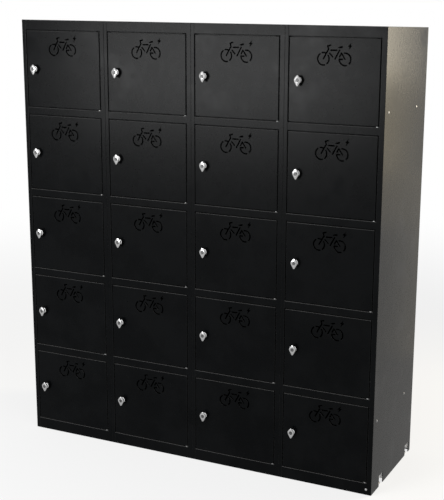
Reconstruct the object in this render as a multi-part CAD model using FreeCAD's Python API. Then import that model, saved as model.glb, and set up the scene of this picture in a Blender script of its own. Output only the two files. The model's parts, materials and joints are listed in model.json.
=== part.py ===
# Bank of steel lockers for bicycle gear: columns of square compartments, each with a hinged door and a turn
# lock. Millimetres, +Z up, doors facing -Y. The origin is the middle of the footprint, on the floor.
# Pieces are drawn from the left front foot of the bank: x to the right, y to the back. save() centres them.
import FreeCAD, Part
import math
import os

# Overall sizes
COLUMNS = 4
TIERS = 5
COLUMN_WIDTH = 400.0
DEPTH = 500.0
HEIGHT = 1800.0

# Sheet thicknesses and bends
CARCASS_SHEET = 1.2
FRAME_SHEET = 1.5
DOOR_SHEET = 1.5
PANEL_SHEET = 1.5
BRACKET_SHEET = 3.0
OUTER_BEND = 2.0

# Front frame of one column
LEFT_STILE = 16.5
STILE_LIP = 16.0
HINGE_STILE = 19.5
TOP_RAIL = 41.5
MID_RAIL = 30.0
BOTTOM_RAIL = 48.5
FRAME_DEPTH = 18.0
STOP_LIP = 8.0
STOP_END_GAP = 25.0

# Doors
DOOR_GAP = 3.0
DOOR_STOP_GAP = 0.5
PIVOT_FROM_EDGE = 5.0
PIVOT_FROM_FRONT = 6.0

# Hinge pins
PIN_RADIUS = 2.5
PIN_RUNNING_GAP = 0.05
PIN_REACH = 5.0
PIN_TAIL = 3.0
PIN_COLLAR_RADIUS = 5.5
PIN_COLLAR_GAP = 0.3

# Locks
LOCK_FROM_EDGE = 41.5
COLLAR_RADIUS = 17.5
COLLAR_PROUD = 3.5
COLLAR_CHAMFER = 1.2
BARREL_RADIUS = 9.5
BARREL_LENGTH = 15.0
CLAMP_NUT_FLATS = 26.0
CLAMP_NUT_HEIGHT = 4.0
SPINDLE_RADIUS = 4.0
SPINDLE_GAP = 0.05
NECK_BASE_RADIUS = 12.5
NECK_BASE_HEIGHT = 6.2
NECK_BASE_EDGE = 4.4
NECK_RADIUS = 8.0
NECK_LENGTH = 10.7
NECK_GAP = 0.3
HEAD_RADIUS = 13.5
HEAD_POINT = 23.0
HEAD_POINT_RADIUS = 4.0
HEAD_TOP = 18.0
HEAD_TOP_RADIUS = 6.0
HEAD_THICKNESS = 6.8
HEAD_EDGE = 1.8
KEY_RADIUS = 6.5
KEY_DEPTH = 6.0
KEY_PROUD = 0.8
KEYWAY_LENGTH = 8.0
KEYWAY_WIDTH = 1.6
KEYWAY_DEPTH = 2.0
CAM_BEHIND_DOOR = 2.0
CAM_THICKNESS = 3.0
CAM_WIDTH = 18.0
CAM_REACH = 54.0
CAM_SCREW_RADIUS = 6.0
CAM_SCREW_HEAD = 3.5

# Shelves, floors and tops
TRAY_FLANGE = 15.0

# Cut-out sign of an electric bicycle, measured from the middle of its two hubs
SIGN_BELOW_DOOR_TOP = 75.5
STROKE = 5.6
WHEEL_BASE = 85.0
WHEEL_RADIUS = 22.5
FRONT_WHEEL_ARCS = ((127, 282), (310, 394))
REAR_WHEEL_ARCS = ((187, 283), (318, 459))
FRONT_WHEEL_TOP_ARC = (64, 101)
STEERING = ((-42.5, 0.0), (-32.0, 19.5), (-22.5, 34.5), (-26.5, 46.5), (-15.0, 49.5))
TOP_TUBE = ((-13.0, 31.7), (9.5, 31.7))
DOWN_TUBE = ((-18.0, 20.5), (-6.0, 7.5))
SEAT_TUBE = ((20.5, 32.0), (3.5, 0.5))
STAYS = ((21.0, 8.5), (28.0, 22.0), (42.5, 0.5))
CHAIN_STAY = ((20.0, 0.0), (32.5, 0.0))
SADDLE = ((12.0, 41.0), (22.0, 46.0), (32.0, 47.5), (32.5, 41.0), (20.0, 39.0))
FLASH = ((67.5, 62.0), (52.0, 45.5), (59.0, 44.5), (54.5, 32.5), (70.0, 49.5), (62.5, 50.5))

# Side panels, their rivets and the notches at their feet
PANEL_EDGE = 1.2
RIVET_FROM_FRONT = 40.0
RIVET_PITCH = 341.0
RIVET_LOW = 298.0
RIVET_HIGH = 1493.0
RIVET_HEAD_RADIUS = 5.0
RIVET_HEAD_HEIGHT = 2.2
RIVET_SHANK_RADIUS = 2.0
RIVET_TAIL = 1.5
RAIL_RIVET_FROM_RIGHT = 20.0
RAIL_RIVET_HEIGHT = 22.0
NOTCH_HEIGHT = 45.0
NOTCH_WIDTH = 48.0
FRONT_NOTCH = 116.0
BACK_NOTCH = 452.0

# Levelling bolts behind the notches
FOOT_FROM_WALL = 10.0
FOOT_BOLT_RADIUS = 5.0
FOOT_HEAD_FLATS = 17.0
FOOT_HEAD_HEIGHT = 6.4
FOOT_NUT_HEIGHT = 8.0
FOOT_BOLT_TOP = 2.5
BRACKET_LEG_GAP = 4.0
BRACKET_WIDTH = 26.0
BRACKET_LEG = 34.0

# Bolts that join neighbouring columns
JOIN_RADIUS = 3.0
JOIN_HOLE_GAP = 0.2
JOIN_HEAD_RADIUS = 5.25
JOIN_HEAD_HEIGHT = 3.3
JOIN_NUT_FLATS = 10.0
JOIN_NUT_HEIGHT = 4.0
JOIN_FROM_FRONT = 60.0
JOIN_FROM_BACK = 60.0
JOIN_ABOVE_SHELF = 150.0

# How far a cutter reaches past what it cuts
OVERCUT = 1.0

# Sizes that follow from these
BANK_WIDTH = COLUMNS * COLUMN_WIDTH
BODY_TOP = HEIGHT - CARCASS_SHEET
OPENING_HEIGHT = (HEIGHT - TOP_RAIL - BOTTOM_RAIL - (TIERS - 1) * MID_RAIL) / TIERS
TIER_PITCH = OPENING_HEIGHT + MID_RAIL
OPENING_RIGHT = COLUMN_WIDTH - HINGE_STILE
DOOR_DEPTH = FRAME_DEPTH - FRAME_SHEET - DOOR_STOP_GAP
DOOR_LEFT = LEFT_STILE + DOOR_GAP
DOOR_RIGHT = OPENING_RIGHT - DOOR_GAP
DOOR_HEIGHT = OPENING_HEIGHT - 2 * DOOR_GAP
DOOR_MIDDLE = (DOOR_LEFT + DOOR_RIGHT) / 2
PIVOT_X = DOOR_RIGHT - PIVOT_FROM_EDGE
LOCK_X = DOOR_LEFT + LOCK_FROM_EDGE
INNER_BEND = OUTER_BEND - CARCASS_SHEET
NOTCHES = (FRONT_NOTCH, BACK_NOTCH)


def vec(x, y, z):
    return FreeCAD.Vector(x, y, z)


def box(x0, x1, y0, y1, z0, z1):
    return Part.makeBox(x1 - x0, y1 - y0, z1 - z0, vec(x0, y0, z0))


def rod(radius, start, end):
    axis = end - start
    return Part.makeCylinder(radius, axis.Length, start, axis)


def hexagon(flats, start, end):
    """Hexagonal bar between two points, with a corner on +Z, or on +Y for an upright bar."""
    axis = end - start
    side = vec(0, 0, 1) if abs(axis.z) < abs(axis.x) + abs(axis.y) else vec(0, 1, 0)
    corner = side * (flats / math.sqrt(3))
    points = [start + FreeCAD.Rotation(axis, 60 * k).multVec(corner) for k in range(7)]
    return Part.Face(Part.makePolygon(points)).extrude(axis)


def moved(shape, x, y, z):
    copy = shape.copy()
    copy.translate(vec(x, y, z))
    return copy


def rounded_outline(points, radii, place):
    """Closed wire through 2-D points, corners rounded to their radii; place() puts a point in space."""
    count = len(points)
    flat = [FreeCAD.Vector(u, v, 0) for u, v in points]
    starts = []
    ends = []
    middles = []
    for i, corner in enumerate(flat):
        back = (flat[i - 1] - corner).normalize()
        ahead = (flat[(i + 1) % count] - corner).normalize()
        half = back.getAngle(ahead) / 2
        cut = radii[i] / math.tan(half)
        bisector = (back + ahead).normalize() if radii[i] else back
        starts.append(corner + back * cut)
        ends.append(corner + ahead * cut)
        middles.append(corner + bisector * (radii[i] / math.sin(half) - radii[i]))
    edges = []
    for i in range(count):
        if radii[i]:
            arc = [place(p.x, p.y) for p in (starts[i], middles[i], ends[i])]
            edges.append(Part.Arc(*arc).toShape())
        run_end = starts[(i + 1) % count]
        if (run_end - ends[i]).Length > 1e-6:
            edges.append(Part.LineSegment(place(ends[i].x, ends[i].y), place(run_end.x, run_end.y)).toShape())
    return Part.Wire(edges)


def folded_sheet(path, thickness, inner_bend, place, length):
    """A sheet folded along the path of its outer face, lying to the right of travel, extruded by length."""
    outer = [FreeCAD.Vector(u, v, 0) for u, v in path]
    runs = [(b - a).normalize() for a, b in zip(outer, outer[1:])]
    rights = [FreeCAD.Vector(d.y, -d.x, 0) for d in runs]
    inner = [outer[0] + rights[0] * thickness]
    outer_radii = [0.0]
    inner_radii = [0.0]
    for i in range(1, len(outer) - 1):
        side = rights[i - 1] + rights[i]
        inner.append(outer[i] + side * (thickness / (1 + rights[i - 1].dot(rights[i]))))
        turns_right = runs[i - 1].cross(runs[i]).z < 0
        outer_radii.append(inner_bend + thickness if turns_right else inner_bend)
        inner_radii.append(inner_bend if turns_right else inner_bend + thickness)
    inner.append(outer[-1] + rights[-1] * thickness)
    outer_radii.append(0.0)
    inner_radii.append(0.0)
    points = [(p.x, p.y) for p in outer + inner[::-1]]
    wire = rounded_outline(points, outer_radii + inner_radii[::-1], place)
    return Part.Face(wire).extrude(length)


def edges_on(shape, test):
    """The straight edges whose two ends both pass the test."""
    return [e for e in shape.Edges if len(e.Vertexes) == 2 and all(test(v.Point) for v in e.Vertexes)]


def near(a, b):
    return abs(a - b) < 1e-4


def opening_floor(tier):
    """Height of the lower edge of a doorway; tier 0 is the top row."""
    return BOTTOM_RAIL + (TIERS - 1 - tier) * TIER_PITCH


def notch_cutter(x0, x1):
    """The foot notches of one end of the bank, between two planes across it."""
    cuts = []
    for middle in NOTCHES:
        front = middle - NOTCH_WIDTH / 2
        cuts.append(box(x0, x1, front, front + NOTCH_WIDTH, -OVERCUT, NOTCH_HEIGHT))
    return cuts


def rivet_places():
    """Distance from the front and height of each rivet of a side panel."""
    depths = (RIVET_FROM_FRONT, RIVET_FROM_FRONT + RIVET_PITCH)
    return [(y, z) for y in depths for z in (RIVET_LOW, RIVET_HIGH)]


def join_places():
    """Distance from the front and height of each bolt that joins two columns: top row and bottom row."""
    heights = [opening_floor(tier) + JOIN_ABOVE_SHELF for tier in (0, TIERS - 1)]
    return [(y, z) for y in (JOIN_FROM_FRONT, DEPTH - JOIN_FROM_BACK) for z in heights]


# Column carcass: left stile, left wall, back and right wall folded from one sheet

def column_shell(column):
    path = (
        (LEFT_STILE, STILE_LIP),
        (LEFT_STILE, 0),
        (0, 0),
        (0, DEPTH),
        (COLUMN_WIDTH, DEPTH),
        (COLUMN_WIDTH, FRAME_SHEET),
    )
    sheet = folded_sheet(path, CARCASS_SHEET, INNER_BEND, lambda u, v: vec(u, v, 0), vec(0, 0, BODY_TOP))
    cuts = []
    first = column == 0
    last = column == COLUMNS - 1
    walls = ((first, 0.0), (last, COLUMN_WIDTH - CARCASS_SHEET))
    for at_end, wall in walls:
        cut_from = wall - OVERCUT
        cut_to = wall + CARCASS_SHEET + OVERCUT
        if at_end:
            cuts += notch_cutter(cut_from, cut_to)
            places = rivet_places()
            radius = RIVET_SHANK_RADIUS
        else:
            places = join_places()
            radius = JOIN_RADIUS + JOIN_HOLE_GAP
        for y, z in places:
            cuts.append(rod(radius, vec(cut_from, y, z), vec(cut_to, y, z)))
    return moved(sheet.cut(cuts), column * COLUMN_WIDTH, 0, 0)


# Front frame: hinge stile and rails in one folded piece, open to the left where the rails meet the left stile

def front_frame(column):
    frame = box(LEFT_STILE, COLUMN_WIDTH, 0, FRAME_DEPTH, 0, BODY_TOP)
    cut_left = LEFT_STILE - OVERCUT
    cut_back = FRAME_DEPTH + OVERCUT
    for tier in range(TIERS):
        floor = opening_floor(tier)
        frame = frame.cut(box(cut_left, OPENING_RIGHT, -OVERCUT, cut_back, floor, floor + OPENING_HEIGHT))
    front_edges = edges_on(frame, lambda p: near(p.y, 0) and p.z > 1)
    rounded = [e for e in front_edges if not near(e.BoundBox.XMax, LEFT_STILE)]
    frame = frame.makeFillet(OUTER_BEND, rounded)
    wall = COLUMN_WIDTH - CARCASS_SHEET
    hollow_right = wall - FRAME_SHEET
    cut_right = COLUMN_WIDTH + OVERCUT
    cut_top = BODY_TOP + OVERCUT
    hollows = [
        box(OPENING_RIGHT + FRAME_SHEET, hollow_right, FRAME_SHEET, cut_back, -OVERCUT, cut_top),
        box(wall, cut_right, FRAME_SHEET, cut_back, -OVERCUT, cut_top),
    ]
    rail_bottoms = [0.0] + [opening_floor(tier) + OPENING_HEIGHT for tier in reversed(range(TIERS))]
    rail_tops = [opening_floor(tier) for tier in reversed(range(TIERS))] + [BODY_TOP]
    for bottom, top in zip(rail_bottoms, rail_tops):
        low = bottom + FRAME_SHEET
        hollows.append(box(cut_left, hollow_right, FRAME_SHEET, cut_back, low, top - FRAME_SHEET))
    frame = frame.cut(hollows)
    lips = []
    holes = []
    lip_front = FRAME_DEPTH - FRAME_SHEET
    lip_right = OPENING_RIGHT - STOP_END_GAP
    for tier in range(TIERS):
        floor = opening_floor(tier)
        ceiling = floor + OPENING_HEIGHT
        lip_floor = floor - FRAME_SHEET
        lip_ceiling = ceiling + FRAME_SHEET
        lips.append(box(LEFT_STILE, lip_right, lip_front, FRAME_DEPTH, lip_floor, floor + STOP_LIP))
        lips.append(box(LEFT_STILE, lip_right, lip_front, FRAME_DEPTH, ceiling - STOP_LIP, lip_ceiling))
        for z in (floor, ceiling):
            low = vec(PIVOT_X, PIVOT_FROM_FRONT, z - 2 * FRAME_SHEET)
            holes.append(rod(PIN_RADIUS, low, low + vec(0, 0, 4 * FRAME_SHEET)))
    if column == COLUMNS - 1:
        seat = vec(COLUMN_WIDTH - RAIL_RIVET_FROM_RIGHT, 0, RAIL_RIVET_HEIGHT)
        holes.append(rod(RIVET_SHANK_RADIUS, seat - vec(0, OVERCUT, 0), seat + vec(0, 2 * FRAME_SHEET, 0)))
    frame = frame.fuse(lips).cut(holes).removeSplitter()
    return moved(frame, column * COLUMN_WIDTH, 0, 0)


# Shelves and floors: trays with a flange folded down at the front and at the back

def tray(column, surface):
    back = DEPTH - CARCASS_SHEET - INNER_BEND
    path = (
        (FRAME_DEPTH, surface - TRAY_FLANGE),
        (FRAME_DEPTH, surface),
        (back, surface),
        (back, surface - TRAY_FLANGE),
    )
    left = column * COLUMN_WIDTH + CARCASS_SHEET
    width = COLUMN_WIDTH - 2 * CARCASS_SHEET
    return folded_sheet(path, CARCASS_SHEET, INNER_BEND, lambda u, v: vec(left, u, v), vec(width, 0, 0))


def column_top(column):
    left = column * COLUMN_WIDTH
    lid = box(left, left + COLUMN_WIDTH, 0, DEPTH, BODY_TOP, HEIGHT)
    front = edges_on(lid, lambda p: near(p.y, 0) and near(p.z, HEIGHT))
    return lid.makeFillet(0.8 * CARCASS_SHEET, front)


# Side panels

def side_panel(left_side):
    x0 = -PANEL_SHEET if left_side else BANK_WIDTH
    face = x0 if left_side else x0 + PANEL_SHEET
    panel = box(x0, x0 + PANEL_SHEET, 0, DEPTH, 0, HEIGHT)
    outer = [e for e in edges_on(panel, lambda p: near(p.x, face)) if e.BoundBox.ZMax > 1]
    panel = panel.makeFillet(PANEL_EDGE, outer)
    cut_from = x0 - OVERCUT
    cut_to = x0 + PANEL_SHEET + OVERCUT
    cuts = notch_cutter(cut_from, cut_to)
    for y, z in rivet_places():
        cuts.append(rod(RIVET_SHANK_RADIUS, vec(cut_from, y, z), vec(cut_to, y, z)))
    return panel.cut(cuts)


def rivet(seat, outward, grip):
    """Dome-headed rivet seated at a point, its shank running inwards through the grip."""
    shank = rod(RIVET_SHANK_RADIUS, seat, seat - outward * (grip + RIVET_TAIL))
    sphere_radius = (RIVET_HEAD_RADIUS**2 + RIVET_HEAD_HEIGHT**2) / (2 * RIVET_HEAD_HEIGHT)
    ball = Part.makeSphere(sphere_radius, seat - outward * (sphere_radius - RIVET_HEAD_HEIGHT))
    head_room = rod(RIVET_HEAD_RADIUS + OVERCUT, seat, seat + outward * (RIVET_HEAD_HEIGHT + OVERCUT))
    head = ball.common(head_room)
    return head.fuse(shank).removeSplitter()


def case_rivets():
    grip = PANEL_SHEET + CARCASS_SHEET
    rivets = []
    for y, z in rivet_places():
        rivets.append(rivet(vec(-PANEL_SHEET, y, z), vec(-1, 0, 0), grip))
        rivets.append(rivet(vec(BANK_WIDTH + PANEL_SHEET, y, z), vec(1, 0, 0), grip))
    rail_seat = vec(BANK_WIDTH - RAIL_RIVET_FROM_RIGHT, 0, RAIL_RIVET_HEIGHT)
    rivets.append(rivet(rail_seat, vec(0, -1, 0), FRAME_SHEET))
    return rivets


# Levelling bolts, each in an inverted U bracket against the end wall

def levelling_foot(middle, wall, inward):
    """Bracket, bolt and lock nut behind one notch; wall is the inner face, inward is +1 or -1 along x."""
    web = BOTTOM_RAIL - CARCASS_SHEET
    inside = NOTCH_WIDTH / 2 + BRACKET_LEG_GAP
    outside = inside + BRACKET_SHEET
    x0 = min(wall, wall + inward * BRACKET_WIDTH)
    path = (
        (middle - outside, web - BRACKET_LEG),
        (middle - outside, web),
        (middle + outside, web),
        (middle + outside, web - BRACKET_LEG),
    )
    bend = OUTER_BEND / 2
    bracket = folded_sheet(path, BRACKET_SHEET, bend, lambda u, v: vec(x0, u, v), vec(BRACKET_WIDTH, 0, 0))
    axis_x = wall + inward * FOOT_FROM_WALL
    foot = vec(axis_x, middle, 0)
    up = vec(0, 0, 1)
    under_web = web - BRACKET_SHEET
    bolt_top = under_web + FOOT_BOLT_TOP
    hole = rod(FOOT_BOLT_RADIUS, foot + up * (under_web - OVERCUT), foot + up * (web + OVERCUT))
    bracket = bracket.cut(hole)
    head = hexagon(FOOT_HEAD_FLATS, foot, foot + up * FOOT_HEAD_HEIGHT)
    stud = rod(FOOT_BOLT_RADIUS, foot, foot + up * bolt_top)
    nut_base = foot + up * (under_web - FOOT_NUT_HEIGHT)
    nut = hexagon(FOOT_HEAD_FLATS, nut_base, foot + up * under_web)
    nut = nut.cut(rod(FOOT_BOLT_RADIUS, nut_base - up * OVERCUT, foot + up * (under_web + OVERCUT)))
    return [bracket, head.fuse(stud).removeSplitter(), nut]


def levelling_feet():
    feet = []
    for middle in NOTCHES:
        feet += levelling_foot(middle, CARCASS_SHEET, 1)
        feet += levelling_foot(middle, BANK_WIDTH - CARCASS_SHEET, -1)
    return feet


# Bolts between neighbouring columns

def column_bolts():
    pieces = []
    for joint in range(1, COLUMNS):
        left = joint * COLUMN_WIDTH - CARCASS_SHEET
        right = joint * COLUMN_WIDTH + CARCASS_SHEET
        for y, z in join_places():
            head = rod(JOIN_HEAD_RADIUS, vec(left - JOIN_HEAD_HEIGHT, y, z), vec(left, y, z))
            crown = [e for e in head.Edges if near(e.BoundBox.XMax, left - JOIN_HEAD_HEIGHT)]
            head = head.makeFillet(0.5 * JOIN_HEAD_HEIGHT, crown)
            shank = rod(JOIN_RADIUS, vec(left, y, z), vec(right + JOIN_NUT_HEIGHT, y, z))
            nut = hexagon(JOIN_NUT_FLATS, vec(right, y, z), vec(right + JOIN_NUT_HEIGHT, y, z))
            pieces.append(head.fuse(shank).removeSplitter())
            pieces.append(nut.cut(shank))
    return pieces


# Hinge pins, fixed in the frame

def hinge_pins():
    pins = []
    for column in range(COLUMNS):
        for tier in range(TIERS):
            x = column * COLUMN_WIDTH + PIVOT_X
            y = PIVOT_FROM_FRONT
            floor = opening_floor(tier)
            ceiling = floor + OPENING_HEIGHT
            reach = DOOR_GAP + DOOR_SHEET + PIN_REACH
            low = rod(PIN_RADIUS, vec(x, y, floor - FRAME_SHEET - PIN_TAIL), vec(x, y, floor + reach))
            collar_top = floor + DOOR_GAP - PIN_COLLAR_GAP
            collar = rod(PIN_COLLAR_RADIUS, vec(x, y, floor), vec(x, y, collar_top))
            high = rod(PIN_RADIUS, vec(x, y, ceiling - reach), vec(x, y, ceiling + FRAME_SHEET + PIN_TAIL))
            pins += [low.fuse(collar).removeSplitter(), high]
    return pins


# The sign: rounded slots cut through the door sheet, drawn on the x-z plane about the middle of the hubs

def slot(points):
    """Cutters for a stroke with round ends and joints through the given points."""
    deep = 4 * DOOR_SHEET
    cutters = []
    for u, v in points:
        cutters.append(rod(STROKE / 2, vec(u, -deep, v), vec(u, deep, v)))
    for (u0, v0), (u1, v1) in zip(points, points[1:]):
        length = math.hypot(u1 - u0, v1 - v0)
        bar = box(0, length, -deep, deep, -STROKE / 2, STROKE / 2)
        bar.rotate(vec(0, 0, 0), vec(0, -1, 0), math.degrees(math.atan2(v1 - v0, u1 - u0)))
        cutters.append(moved(bar, u0, 0, v0))
    return cutters


def wheel_arc(hub, start, end):
    """Cutter for part of a wheel ring, angles in degrees from +x towards +z, with round ends."""
    deep = 4 * DOOR_SHEET

    def at(radius, angle):
        turn = math.radians(angle)
        return vec(hub + radius * math.cos(turn), -deep, radius * math.sin(turn))

    middle = (start + end) / 2
    outer = WHEEL_RADIUS + STROKE / 2
    inner = WHEEL_RADIUS - STROKE / 2
    edges = [
        Part.Arc(at(outer, start), at(outer, middle), at(outer, end)).toShape(),
        Part.LineSegment(at(outer, end), at(inner, end)).toShape(),
        Part.Arc(at(inner, end), at(inner, middle), at(inner, start)).toShape(),
        Part.LineSegment(at(inner, start), at(outer, start)).toShape(),
    ]
    cutters = [Part.Face(Part.Wire(edges)).extrude(vec(0, 2 * deep, 0))]
    for angle in (start, end):
        foot = at(WHEEL_RADIUS, angle)
        cutters.append(rod(STROKE / 2, foot, foot + vec(0, 2 * deep, 0)))
    return cutters


def plate_shape(points):
    deep = 4 * DOOR_SHEET
    corners = [vec(u, -deep, v) for u, v in points]
    return Part.Face(Part.makePolygon(corners + corners[:1])).extrude(vec(0, 2 * deep, 0))


def sign_cutters():
    cutters = []
    front_hub = -WHEEL_BASE / 2
    rear_hub = WHEEL_BASE / 2
    for start, end in FRONT_WHEEL_ARCS + (FRONT_WHEEL_TOP_ARC,):
        cutters += wheel_arc(front_hub, start, end)
    for start, end in REAR_WHEEL_ARCS:
        cutters += wheel_arc(rear_hub, start, end)
    for stroke in (STEERING, TOP_TUBE, DOWN_TUBE, SEAT_TUBE, STAYS, CHAIN_STAY):
        cutters += slot(stroke)
    cutters += [plate_shape(SADDLE), plate_shape(FLASH)]
    return cutters


# Door leaf, folded like a shallow pan, drawn in the doorway of the left column's bottom row

def door_leaf():
    low = BOTTOM_RAIL + DOOR_GAP
    high = low + DOOR_HEIGHT
    t = DOOR_SHEET
    leaf = box(DOOR_LEFT, DOOR_RIGHT, 0, DOOR_DEPTH, low, high)
    leaf = leaf.makeFillet(OUTER_BEND, edges_on(leaf, lambda p: near(p.y, 0)))
    hollow = box(DOOR_LEFT + t, DOOR_RIGHT - t, t, 2 * DOOR_DEPTH, low + t, high - t)
    hollow = hollow.makeFillet(OUTER_BEND - t, edges_on(hollow, lambda p: near(p.y, t)))
    leaf = leaf.cut(hollow)
    sign_height = high - SIGN_BELOW_DOOR_TOP
    cuts = [moved(cutter, DOOR_MIDDLE, 0, sign_height) for cutter in sign_cutters()]
    lock_hub = vec(LOCK_X, 0, (low + high) / 2)
    cuts.append(rod(BARREL_RADIUS, lock_hub - vec(0, t, 0), lock_hub + vec(0, 2 * t, 0)))
    hole = PIN_RADIUS + PIN_RUNNING_GAP
    for z in (low, high):
        middle = vec(PIVOT_X, PIVOT_FROM_FRONT, z)
        cuts.append(rod(hole, middle - vec(0, 0, 2 * t), middle + vec(0, 0, 2 * t)))
    return leaf.cut(cuts)


# Turn lock, drawn about its own axis: y 0 is the door's front face

def lock_barrel():
    """Collar on the door's face and barrel through the door, with the bore of the spindle."""
    collar = rod(COLLAR_RADIUS, vec(0, -COLLAR_PROUD, 0), vec(0, 0, 0))
    rim = [e for e in collar.Edges if near(e.BoundBox.YMax, -COLLAR_PROUD)]
    collar = collar.makeChamfer(COLLAR_CHAMFER, rim)
    barrel = collar.fuse(rod(BARREL_RADIUS, vec(0, 0, 0), vec(0, BARREL_LENGTH, 0)))
    bore = rod(SPINDLE_RADIUS + SPINDLE_GAP, vec(0, -2 * COLLAR_PROUD, 0), vec(0, BARREL_LENGTH + OVERCUT, 0))
    return barrel.cut(bore).removeSplitter()


def clamp_nut():
    back = DOOR_SHEET + CLAMP_NUT_HEIGHT
    nut = hexagon(CLAMP_NUT_FLATS, vec(0, DOOR_SHEET, 0), vec(0, back, 0))
    return nut.cut(rod(BARREL_RADIUS, vec(0, 0, 0), vec(0, back + OVERCUT, 0)))


def head_outline(y):
    """Blunt above and pointed below: three circles, one over another, joined by common tangents."""
    rise = HEAD_TOP - HEAD_TOP_RADIUS
    drop = HEAD_POINT - HEAD_POINT_RADIUS
    up = math.asin((HEAD_RADIUS - HEAD_TOP_RADIUS) / rise)
    down = math.asin((HEAD_RADIUS - HEAD_POINT_RADIUS) / drop)

    def at(radius, height, angle):
        return vec(radius * math.cos(angle), y, height + radius * math.sin(angle))

    arcs = (
        (HEAD_RADIUS, 0, -down, up),
        (HEAD_TOP_RADIUS, rise, up, math.pi - up),
        (HEAD_RADIUS, 0, math.pi - up, math.pi + down),
        (HEAD_POINT_RADIUS, -drop, math.pi + down, 2 * math.pi - down),
    )
    edges = []
    for (radius, height, start, end), following in zip(arcs, arcs[1:] + arcs[:1]):
        middle = (start + end) / 2
        arc_end = at(radius, height, end)
        edges.append(Part.Arc(at(radius, height, start), at(radius, height, middle), arc_end).toShape())
        edges.append(Part.LineSegment(arc_end, at(*following[:3])).toShape())
    return Part.Wire(edges)


def lock_pieces():
    """Handle, key cylinder, cam and cam screw, which turn together; the cam hangs down."""
    neck_back = -(COLLAR_PROUD + NECK_GAP)
    head_back = neck_back - NECK_LENGTH
    head_front = head_back - HEAD_THICKNESS
    cam_front = DOOR_DEPTH + CAM_BEHIND_DOOR
    cam_back = cam_front + CAM_THICKNESS
    head = Part.Face(head_outline(head_back)).extrude(vec(0, -HEAD_THICKNESS, 0))
    front = [e for e in head.Edges if near(e.BoundBox.YMax, head_front) and near(e.BoundBox.YMin, head_front)]
    head = head.makeFillet(HEAD_EDGE, front)
    base_front = neck_back - NECK_BASE_HEIGHT
    base = rod(NECK_BASE_RADIUS, vec(0, neck_back, 0), vec(0, base_front, 0))
    crown = [e for e in base.Edges if near(e.BoundBox.YMax, base_front)]
    base = base.makeFillet(NECK_BASE_EDGE, crown)
    neck = rod(NECK_RADIUS, vec(0, neck_back, 0), vec(0, head_back, 0))
    spindle = rod(SPINDLE_RADIUS, vec(0, cam_back, 0), vec(0, neck_back, 0))
    key_seat = rod(KEY_RADIUS, vec(0, head_front + KEY_DEPTH, 0), vec(0, head_front - OVERCUT, 0))
    handle = head.fuse([base, neck, spindle]).cut(key_seat).removeSplitter()
    key_front = head_front - KEY_PROUD
    key = rod(KEY_RADIUS, vec(0, head_front + KEY_DEPTH, 0), vec(0, key_front, 0))
    half_way = KEYWAY_WIDTH / 2
    half_long = KEYWAY_LENGTH / 2
    keyway = box(-half_way, half_way, key_front - OVERCUT, key_front + KEYWAY_DEPTH, -half_long, half_long)
    half_cam = CAM_WIDTH / 2
    cam = box(-half_cam, half_cam, cam_front, cam_back, -CAM_REACH, 0)
    cam = cam.fuse(rod(half_cam, vec(0, cam_front, 0), vec(0, cam_back, 0)))
    cam_hole = rod(SPINDLE_RADIUS, vec(0, cam_front - OVERCUT, 0), vec(0, cam_back + OVERCUT, 0))
    cam = cam.cut(cam_hole).removeSplitter()
    screw = rod(CAM_SCREW_RADIUS, vec(0, cam_back, 0), vec(0, cam_back + CAM_SCREW_HEAD, 0))
    return [handle, key.cut(keyway), cam, screw]


def save(name, solids):
    """Centre the pieces on the footprint and write them as one node."""
    placed = [moved(solid, -BANK_WIDTH / 2, -DEPTH / 2, 0) for solid in solids]
    for solid in placed:
        if len(solid.Solids) != 1 or not solid.isValid():
            print("check", name, len(solid.Solids), solid.isValid())
    solids_only = [piece for solid in placed for piece in solid.Solids]
    shape = solids_only[0] if len(solids_only) == 1 else Part.makeCompound(solids_only)
    shape.exportStep(f"parts/{name}.step")
    print(name, len(solids_only), round(shape.Volume))


def main():
    os.makedirs("parts", exist_ok=True)
    for column in range(COLUMNS):
        label = f"column_{column + 1}"
        save(f"{label}_shell", [column_shell(column)])
        save(f"{label}_front_frame", [front_frame(column)])
        save(f"{label}_shelves", [tray(column, opening_floor(tier)) for tier in range(TIERS - 1)])
    save("column_floors", [tray(column, BOTTOM_RAIL) for column in range(COLUMNS)])
    save("column_tops", [column_top(column) for column in range(COLUMNS)])
    save("side_panel_left", [side_panel(True)])
    save("side_panel_right", [side_panel(False)])
    save("case_rivets", case_rivets())
    save("levelling_feet", levelling_feet())
    save("column_bolts", column_bolts())
    save("hinge_pins", hinge_pins())
    leaf = door_leaf()
    fixed_lock = [lock_barrel(), clamp_nut()]
    turning_lock = lock_pieces()
    lock_low = BOTTOM_RAIL + DOOR_GAP + DOOR_HEIGHT / 2
    for tier in range(TIERS):
        rise = opening_floor(tier) - BOTTOM_RAIL
        for column in range(COLUMNS):
            number = tier * COLUMNS + column + 1
            left = column * COLUMN_WIDTH
            hub = (left + LOCK_X, 0, lock_low + rise)
            door = [moved(leaf, left, 0, rise)] + [moved(piece, *hub) for piece in fixed_lock]
            save(f"door_{number:02d}", door)
            save(f"lock_{number:02d}", [moved(piece, *hub) for piece in turning_lock])


main()
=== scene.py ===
# %% [markdown]
# # A bank of steel lockers for cyclists' gear
# Twenty small compartments stand in four columns of five. Each has a folded steel door with an electric
# bicycle cut through it, and a turn lock that throws a cam behind the frame. The joints and the exact
# shapes come from the engineering model, which loads first and is never moved. This lesson dresses it:
# satin powder coat on the sheets, chrome on the locks, zinc on the fasteners, and light that suits black.

import json
import math

import bmesh
import bpy
from mathutils import Matrix, Vector


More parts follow.
